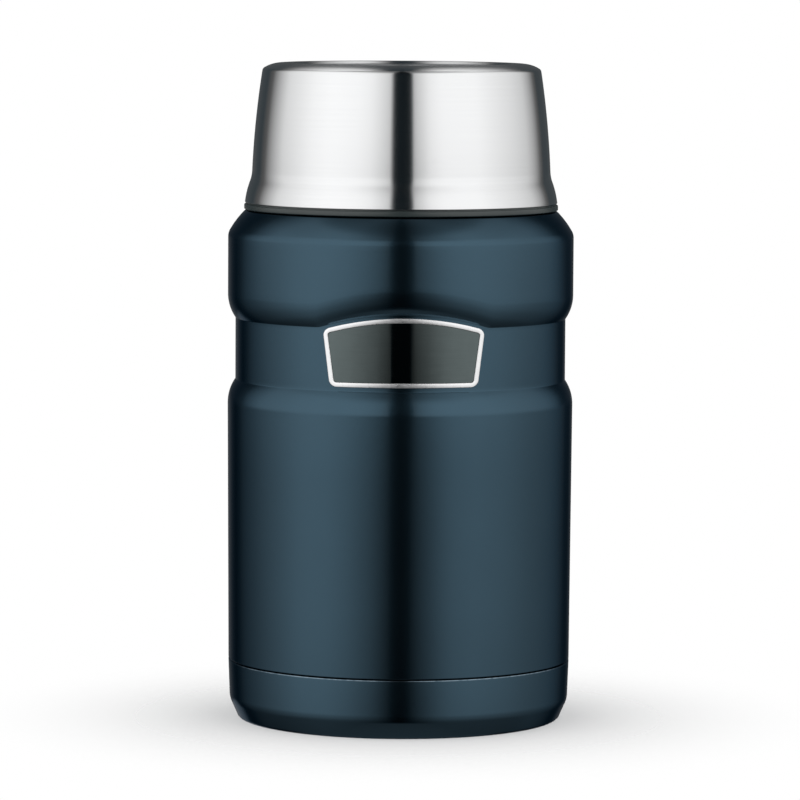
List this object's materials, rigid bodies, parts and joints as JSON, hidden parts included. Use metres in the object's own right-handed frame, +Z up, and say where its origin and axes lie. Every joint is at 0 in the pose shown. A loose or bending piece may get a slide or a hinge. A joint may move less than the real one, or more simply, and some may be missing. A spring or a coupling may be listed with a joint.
{
  "type": "insulated food jar",
  "caption": "Vacuum-insulated steel food jar with a recessed waist and bare badge, a screw-in insulated stopper, and a double-walled bowl that screws on as its lid.",
  "frame": {"origin": "centre of the foot's underside, on the surface that the jar stands on", "axes": "+Z up along the jar's axis, -Y towards the badge, +X to the right when the badge is seen from the front"},
  "size_m": [0.1, 0.1, 0.19],
  "materials": {
    "painted_steel": "gloss metallic midnight-blue lacquer",
    "bare_steel": "fine turned stainless steel",
    "brushed_steel": "brushed stainless steel",
    "foil": "bright aluminium foil",
    "getter_tablet": "pressed powder, dark grey",
    "glass_bead": "sealing glass",
    "badge_dark": "dark grey satin plate, left bare",
    "badge_bright": "polished border",
    "stopper_plastic": "fine-grained moulded plastic",
    "foam": "expanded foam",
    "silicone": "translucent grey silicone",
    "ring_plastic": "satin dark grey plastic",
    "dark_silicone": "dark grey silicone"
  },
  "bodies": {
    "jar": {"outer_shell": "painted_steel", "outer_bottom": "painted_steel", "base_disc": "bare_steel", "vacuum_seal": "glass_bead", "inner_liner": "bare_steel", "liner_bottom": "bare_steel", "radiation_foil": "foil", "getter": "getter_tablet", "getter_clip": "bare_steel", "badge_panel": "badge_dark", "badge_frame": "badge_bright"},
    "stopper_seal": {"stopper_gasket": "silicone"},
    "stopper": {"stopper_core": "stopper_plastic", "stopper_cap": "stopper_plastic", "stopper_foam": "foam"},
    "bowl_seal": {"bowl_gasket": "dark_silicone"},
    "bowl": {"bowl_shell": "brushed_steel", "bowl_liner": "bare_steel", "bowl_thread_ring": "ring_plastic"}
  },
  "joints": [
    {"name": "stopper_lift", "type": "slide", "parent": "jar", "child": "stopper_seal", "axis": [0, 0, 1], "range_m": [0, 0.06]},
    {"name": "stopper_turn", "type": "hinge", "parent": "stopper_seal", "child": "stopper", "pos_m": [0, 0, 0.1652], "axis": [0, 0, 1], "range_deg": [0, 360]},
    {"name": "bowl_lift", "type": "slide", "parent": "stopper_seal", "child": "bowl_seal", "axis": [0, 0, 1], "range_m": [0, 0.06]},
    {"name": "bowl_turn", "type": "hinge", "parent": "bowl_seal", "child": "bowl", "pos_m": [0, 0, 0.148], "axis": [0, 0, 1], "range_deg": [0, 360]}
  ]
}
